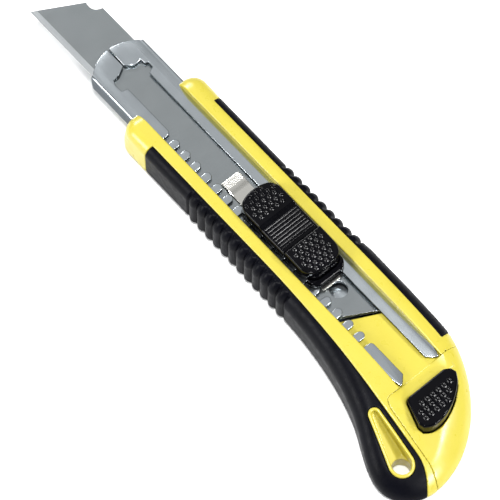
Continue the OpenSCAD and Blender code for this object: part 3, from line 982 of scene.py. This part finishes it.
SHEET = LIP_TOP - LIP_UNDER
fold_r = 0.4
mid_half = CHANNEL_HALF - SHEET / 2
mid_height = LIP_TOP - CHANNEL_Z - SHEET
flat_half = mid_half - fold_r
fold_len = fold_r * math.pi / 2
wall_len = mid_height - 2 * fold_r
fold_start = [flat_half, flat_half + fold_len + wall_len]
lip_zero = fold_start[1] + fold_len + flat_half

NOSE_X = 38.9  # front of the nose, a round arc
NOSE_R = 14.0
NOSE_HALF = 9.2  # half the width of that arc
NOSE_STEP = 0.5  # how far the nose's floor stands back under its flaps
LIP_Y = -4.1  # inner edges of the plain lip and of the lip with the lock fingers
RACK_Y = 4.5
PITCH = 5.0
FINGERS = 18
FINGER_W = 2.7
ROOT_Y = 7.7  # where the fingers spring from
FLAP_X = 24.2  # where the lips end and the nose's flaps begin
END_CHAMFER = 2.4


def fold(p):
    """Bends the flat channel blank: x stays, y is the way round the section, z is the depth."""
    x, s, n = p.T
    side = np.sign(s)
    s = np.abs(s)
    y = np.zeros_like(s)
    z = np.zeros_like(s)
    low, high = fold_start
    floor = s <= low
    y[floor] = s[floor]
    z[floor] = n[floor]
    k = (s > low) & (s <= low + fold_len)
    a = (s[k] - low) / fold_r
    y[k] = flat_half + (fold_r - n[k]) * np.sin(a)
    z[k] = fold_r - (fold_r - n[k]) * np.cos(a)
    k = (s > low + fold_len) & (s <= high)
    y[k] = mid_half - n[k]
    z[k] = fold_r + s[k] - low - fold_len
    k = (s > high) & (s <= high + fold_len)
    a = (s[k] - high) / fold_r
    y[k] = flat_half + (fold_r - n[k]) * np.cos(a)
    z[k] = fold_r + wall_len + (fold_r - n[k]) * np.sin(a)
    k = s > high + fold_len
    y[k] = lip_zero - s[k]
    z[k] = mid_height - n[k]
    return np.stack([x, side * y, z + CHANNEL_Z + SHEET / 2], 1)


def channel_outline():
    """The flat blank of the channel: x along it, and the way round its section across it."""

    def rack(x, y):
        """A point of the lip with the lock fingers, given where it lies once folded."""
        return (x, lip_zero - y)

    def plain(x, y):
        """A point of the plain lip."""
        return (x, -lip_zero - y)

    def nose(y):
        """How far forward the nose's arc is."""
        return NOSE_X - NOSE_R + math.sqrt(NOSE_R ** 2 - y ** 2)

    corner_x = nose(mid_half) + 0.35
    corner_s = lip_zero - NOSE_HALF - 0.4
    low, high = fold_start
    back_steps = np.linspace(0.1, 1, 8)
    points = [rack(nose(y), y) for y in np.linspace(0.5, NOSE_HALF, 14)]
    points += [(corner_x, s) for s in np.linspace(corner_s, high, 4)]
    points += [(corner_x - NOSE_STEP * t ** 2, high + (low - high) * t) for t in back_steps]
    points += [(nose(abs(y)) - NOSE_STEP - 0.1, y) for y in np.linspace(NOSE_HALF, -NOSE_HALF, 24)]
    points += [(corner_x - NOSE_STEP * t ** 2, (high - low) * t - high) for t in back_steps[::-1]]
    points += [(corner_x, -s) for s in np.linspace(high, corner_s, 4)]
    points += [plain(nose(y), y) for y in np.linspace(-NOSE_HALF, 0.1, 14)]
    points += [plain(x, y) for x, y in (
        (31.3, 0.1), (29.3, -2.4), (29.6, -5.2), (27.7, -5.3), (27.4, -6.3), (25.2, -6.2), (FLAP_X, LIP_Y),
        (CHANNEL_BACK + END_CHAMFER, LIP_Y), (CHANNEL_BACK + 0.2, LIP_Y - END_CHAMFER + 0.2),
        (CHANNEL_BACK, LIP_Y - END_CHAMFER - 0.4), (CHANNEL_BACK, -7.5), (CHANNEL_BACK + 4.5, -8.6))]
    points += [rack(x, y) for x, y in (
        (CHANNEL_BACK + 4.5, 8.6), (CHANNEL_BACK, 7.6), (CHANNEL_BACK, RACK_Y + END_CHAMFER + 0.4),
        (CHANNEL_BACK + 0.2, RACK_Y + END_CHAMFER - 0.2), (CHANNEL_BACK + END_CHAMFER, RACK_Y))]
    half = FINGER_W / 2
    rack_front = half + 2.3
    rack_back = -PITCH * (FINGERS - 1) - rack_front
    end_r = 1.3
    points += [rack(*p) for p in corner(rack_back - end_r, RACK_Y + end_r, end_r, -90, 0, 6)]
    points.append(rack(rack_back, ROOT_Y))
    for k in reversed(range(FINGERS)):
        x = -PITCH * k
        points.append(rack(x - half, ROOT_Y))
        points += [rack(*p) for p in corner(x, RACK_Y - 0.1 + half, half, -180, 0, 14)]
        points.append(rack(x + half, ROOT_Y))
    points.append(rack(rack_front, ROOT_Y))
    points += [rack(*p) for p in corner(rack_front + end_r, RACK_Y + end_r, end_r, 180, 270, 6)]
    points += [rack(x, y) for x, y in (
        (FLAP_X, RACK_Y), (24.6, 6.5), (27.5, 6.7), (29.4, 5.9), (29.7, 3.3), (31.3, 0.5))]
    return points


def channel_mesh():
    """The channel: its blank is cut out, drilled for its rivets and folded."""
    bores = [corner(x, 0, 1.25, 0, 345, 23) for x in RIVET_XS]
    bm = blank_mesh([channel_outline()] + bores, SHEET, 0.18)
    places = []
    for start in fold_start:
        for k in range(9):
            s = start + fold_len * k / 8
            places += [(0, s, 0), (0, -s, 0)]
    cut_along(bm, places, (0, 1, 0))
    return sheet("channel", bm, fold)


piece("blade_channel_sheet", channel_mesh(), "handle", "sheet_steel", SHEET_STEEL, "blade_channel")

rivet_profile = [(0, 0.3), (1.4, 0.36), (2.1, 0.55), (2.45, 0.85), (2.45, 1.15), (1.2, 1.2), (1.2, 6.3),
                 (1.75, 6.35), (1.72, 6.55), (1.3, 6.68), (0, 6.7)]
channel_rivets = [turned(rivet_profile, x) for x in RIVET_XS]
piece("channel_rivets_turned", turned_mesh("channel_rivets", channel_rivets), "handle", "rivet_steel",
      RIVET_STEEL, "channel_rivets")

# ---- blades ----

BLADE_W = 18.0
BLADE_LEN = 100.0
BLADE_T = 0.5
BLADE_GAP = 0.05
BEVEL_W = 1.8
HOLE_R = 2.9
SNAP_ANGLE = math.radians(60)
SNAP_PITCH = 10
SNAPS = 9
GROOVE = 0.16  # half the width of a snap groove, and its depth
GROOVE_DEPTH = 0.13
SLANT = BLADE_W / math.tan(SNAP_ANGLE)
PLATE_T = 0.5
PLATE_Z = LIP_UNDER - BLADE_GAP - PLATE_T
BLADE_TOP = PLATE_Z - BLADE_GAP
HOOK_X = SLIDER_X + 18.6


def blade_mesh(name, hook, top, askew=0.0):
    """A blade with its ground bevel, tail hole and, on its underside, the snap grooves.

    It hangs askew on its hook by an angle in degrees."""
    turn = math.radians(askew)
    half = BLADE_W / 2
    edge_tail = hook - HOLE_BACK + SLANT / 2
    back_tail = hook - HOLE_BACK - SLANT / 2
    edge_tip = edge_tail + BLADE_LEN
    back_tip = back_tail + BLADE_LEN
    nick = (back_tip + 1.56, -6.3)
    outline = [(edge_tip, half), (edge_tail, half), (back_tail, -half)]
    outline += [tuple(p) for p in curve(
        (back_tip - 3.4, -half), (back_tip - 2.7, -6.2), (back_tip - 1.0, -5.6), nick, 9)]
    outline.append(nick)
    hole = corner(hook, 0, HOLE_R, 0, 350, 35)
    bm = blank_mesh([outline, hole], BLADE_T, 0.03)
    cut_along(bm, [(0, half - BEVEL_W, 0)], (0, 1, 0))
    across = Vector((math.sin(SNAP_ANGLE), -math.cos(SNAP_ANGLE), 0))
    snaps = [edge_tail + SNAP_PITCH * k for k in range(1, SNAPS + 1)]
    for x in snaps:
        for d in (-GROOVE, 0, GROOVE):
            cut_along(bm, [(x + d, half, 0)], across)

    def shape(p):
        """Thins the blank at its bevel, sinks the grooves and turns it on its hook."""
        x, y, n = p.T
        ground = np.clip((half - y) / BEVEL_W, 0.1, 1)
        n = np.where(y > half - BEVEL_W - 1e-6, n * ground, n)
        for start in snaps:
            off = np.abs((x - start) * across.x + (y - half) * across.y)
            n = n + np.where((n < -0.05) & (off < 0.02), GROOVE_DEPTH * ground, 0)
        u = hook + (x - hook) * math.cos(turn) - y * math.sin(turn)
        v = (x - hook) * math.sin(turn) + y * math.cos(turn)
        return np.stack([u, v, n + top - BLADE_T / 2], 1)

    return sheet(name, bm, shape, 5)


piece("active_blade_ground", blade_mesh("active_blade", HOOK_X, BLADE_TOP, 0.38), "slider", "blade_steel",
      BLADE_STEEL, "active_blade")
for k in (1, 2, 3):
    depth = k * (BLADE_T + BLADE_GAP)
    piece(f"spare_blade_{k}_ground", blade_mesh("spare_blade", SPARE_HOOK_X, BLADE_TOP - depth), "handle",
          "blade_steel", BLADE_STEEL, f"spare_blade_{k}")

# ---- blade carrier ----

LEAF_FRONT = SLIDER_X + 28.1
CREST = LEAF_FRONT - 3.3
CREST_RISE = 0.62
carrier_back = SLIDER_X - 19.3


def blade_carrier(x, y, z):
    """Spring-steel plate that carries the blade: its leaf rises in front, and its lip slopes down."""
    soft = CREST_RISE * smooth(x, CREST - 2.6, CREST) - 0.27 * np.clip(x - CREST, 0, 4)
    bent = np.interp(x, [CREST - 2.4, CREST, CREST + 0.1, LEAF_FRONT], [0, CREST_RISE, CREST_RISE, -0.02])
    lift = 0.15 * soft + 0.85 * bent
    middle = z - (PLATE_Z + PLATE_T / 2 + lift)
    narrow = plate(x, y, carrier_back, LEAF_FRONT, -2.8, 4.0, 0.35)
    wide = plate(x, y, SLIDER_X - 14, SLIDER_X + 12, -5.7, 5.7, 0.8)
    thick = np.abs(middle) * 0.96 - PLATE_T / 2
    leaf = both(either(narrow, wide, 0.6), thick, 0.08)
    for rivet_x in (SLIDER_X + 8, SLIDER_X - 9):
        leaf = without(leaf, disc(x, y, rivet_x, 0, 0.95), 0.05)
    plug = both(disc(x, y, HOOK_X, 0, 2.6), slab(z, BLADE_TOP - BLADE_T + 0.05, PLATE_Z + 0.1), 0.1)
    return np.minimum(leaf, plug)


moulded(
    "blade_carrier_leaf", blade_carrier,
    [lines((carrier_back - 0.4, LEAF_FRONT + 0.4, 0.2)), lines((-6.1, 6.1, 0.2)), lines((10.5, 12.9, 0.1))],
    "slider", "spring_steel", SPRING_STEEL, "blade_carrier",
)

# ---- springs, and the looks of the CAD pieces that stay ----

COIL_TURNS = 3
STEPS_PER_TURN = 28


def coil_spring(name, node, body, wire_r):
    """A coil of round wire between a seat and a button."""
    low, high = (np.array(end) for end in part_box(node))
    seat, crown = from_frame(low), from_frame(high)
    middle = (seat + crown) / 2
    coil_r = (crown[0] - seat[0]) / 2 - wire_r
    share = np.linspace(0, 1, STEPS_PER_TURN * COIL_TURNS + 1)
    angle = 2 * math.pi * COIL_TURNS * share
    path = np.column_stack([
        middle[0] + coil_r * np.cos(angle),
        middle[1] + coil_r * np.sin(angle),
        seat[2] + wire_r + (crown[2] - seat[2] - 2 * wire_r) * share,
    ])
    made = piece(name, wire_mesh(name, path, wire_r), body, "spring_steel", SPRING_STEEL, node)
    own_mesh(made)


coil_spring("lock_spring_coil", "lock_spring", "slider", 0.2)
coil_spring("cap_button_spring_coil", "cap_button_spring", "end_cap", 0.25)

for node, look in (
    ("carrier_rivets", RIVET_STEEL), ("magazine_spring", SPRING_STEEL), ("detent_spring", SPRING_STEEL),
    ("cap_latch", SPRING_STEEL),
):
    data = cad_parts[node].data
    data.materials.clear()
    data.materials.append(look)

# ---- camera, light and floor ----

VIEW_AZIMUTH = 139.29  # degrees
VIEW_ELEVATION = 63.8
VIEW_DISTANCE = 0.93463
LENS = 220.78
AIM = (-0.0038, 0.0007)  # where the camera looks, from the middle of the knife
LIGHT_DISTANCE = 0.9
DAYLIGHT = (0.95, 0.98, 1.0, 1)
DAYLIGHT_STRENGTH = 0.11
FLOOR_SIZE = 3.0
FLOOR_GAP = 0.0002

low, high = cad_bounds
target = Vector(((low[0] + high[0]) / 2 + AIM[0], (low[1] + high[1]) / 2 + AIM[1], low[2]))
azimuth, elevation = math.radians(VIEW_AZIMUTH), math.radians(VIEW_ELEVATION)
away = Vector((math.cos(elevation) * math.cos(azimuth), math.cos(elevation) * math.sin(azimuth),
               math.sin(elevation)))
camera = bpy.data.objects.new("camera", bpy.data.cameras.new("camera"))
camera.data.lens = LENS
camera.location = target + VIEW_DISTANCE * away
camera.rotation_euler = away.to_track_quat("Z", "Y").to_euler()
bpy.context.scene.collection.objects.link(camera)
bpy.context.scene.camera = camera

screen_right = Vector((-math.sin(azimuth), math.cos(azimuth), 0))
screen_up = away.cross(screen_right)


def softbox(name, direction, size, power):
    """A soft area light that looks at the knife from a direction (right, up, towards the camera)."""
    toward = (direction[0] * screen_right + direction[1] * screen_up + direction[2] * away).normalized()
    light = bpy.data.lights.new(name, "AREA")
    light.shape = "RECTANGLE"
    light.size, light.size_y = size
    light.energy = power
    holder = bpy.data.objects.new(name, light)
    holder.location = target + LIGHT_DISTANCE * toward
    holder.rotation_euler = toward.to_track_quat("Z", "Y").to_euler()
    bpy.context.scene.collection.objects.link(holder)


softbox("top", (0.0, 0.25, 0.968), (0.16, 0.16), 7.2)
softbox("overhead", (0.0, 0.79, 0.61), (0.7, 0.7), 0.8)
softbox("key", (-0.36, 0.93, 0.12), (0.24, 0.18), 3.9)
softbox("rear", (0.75, -0.25, 0.61), (0.13, 0.13), 4.4)
softbox("left", (-0.84, -0.08, 0.54), (0.36, 0.4), 7.0)
softbox("streak", (0.72, 0.18, 0.67), (0.09, 0.09), 3.4)

world = bpy.data.worlds.new("studio")
world.use_nodes = True
background = world.node_tree.nodes["Background"]
background.inputs["Color"].default_value = DAYLIGHT
background.inputs["Strength"].default_value = DAYLIGHT_STRENGTH
bpy.context.scene.world = world
bpy.context.scene.view_settings.view_transform = "Standard"


def floor():
    """A wide pale floor with a faintly uneven finish."""
    look = Look("floor_look")
    colour = look.ramp(look.noise(60, 2), (0.3, 0.93), (0.7, 0.95))
    rough = look.scaled(look.noise(20, 3), 0.3, 0.7, 0.75, 0.85)
    material = look.set(Base_Color=colour, Roughness=rough)
    bm = bmesh.new()
    bmesh.ops.create_grid(bm, x_segments=8, y_segments=8, size=FLOOR_SIZE)
    mesh = bpy.data.meshes.new("floor")
    bm.to_mesh(mesh)
    bm.free()
    mesh.materials.append(material)
    made = bpy.data.objects.new("floor", mesh)
    made.location.z = low[2] - FLOOR_GAP
    bpy.context.scene.collection.objects.link(made)


floor()
